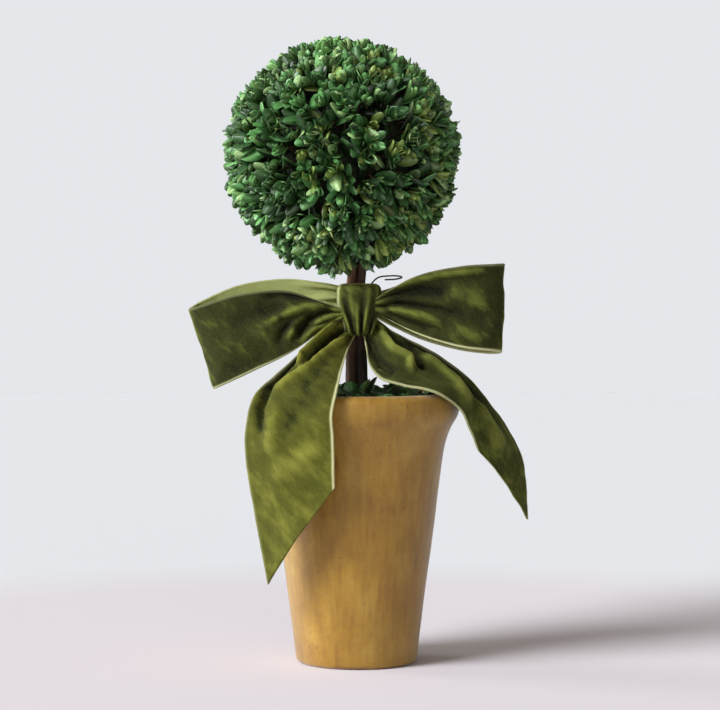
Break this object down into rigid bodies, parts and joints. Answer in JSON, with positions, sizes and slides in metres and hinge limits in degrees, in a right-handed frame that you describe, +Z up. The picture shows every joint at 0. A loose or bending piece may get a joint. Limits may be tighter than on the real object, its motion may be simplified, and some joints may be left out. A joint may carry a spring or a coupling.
{
  "type": "tabletop lollipop topiary in a clay pot",
  "caption": "Clipped ball of box leaves on a bundle of bare twig stems in a tall flared clay pot, with a velvet ribbon bow tied round the stems; stands on its own flat base.",
  "frame": {"origin": "centre of the pot's flat underside, on the surface that the part stands on", "axes": "+Z up through the pot and the leaf ball; the bow faces -Y; +X is to the viewer's right"},
  "size_m": [0.1383, 0.0973, 0.2552],
  "materials": {
    "clay": "matte ochre earthenware with a dry slip",
    "planting_foam": "matte dry planting foam",
    "box_leaves": "satin preserved box leaves",
    "stem_bark": "matte brown twig bark",
    "velvet_ribbon": "olive velvet pile",
    "florist_wire": "dark green enamelled wire"
  },
  "bodies": {
    "root": {"pot": "clay", "pot_fill": "planting_foam", "foot_leaves": "box_leaves", "stem_left": "stem_bark", "stem_right": "stem_bark", "stem_back": "stem_bark", "leaf_ball": "box_leaves", "bow_knot": "velvet_ribbon", "bow_loop_left": "velvet_ribbon", "bow_loop_right": "velvet_ribbon", "bow_tail_left": "velvet_ribbon", "bow_tail_right": "velvet_ribbon", "tie_wire": "florist_wire"}
  },
  "joints": []
}
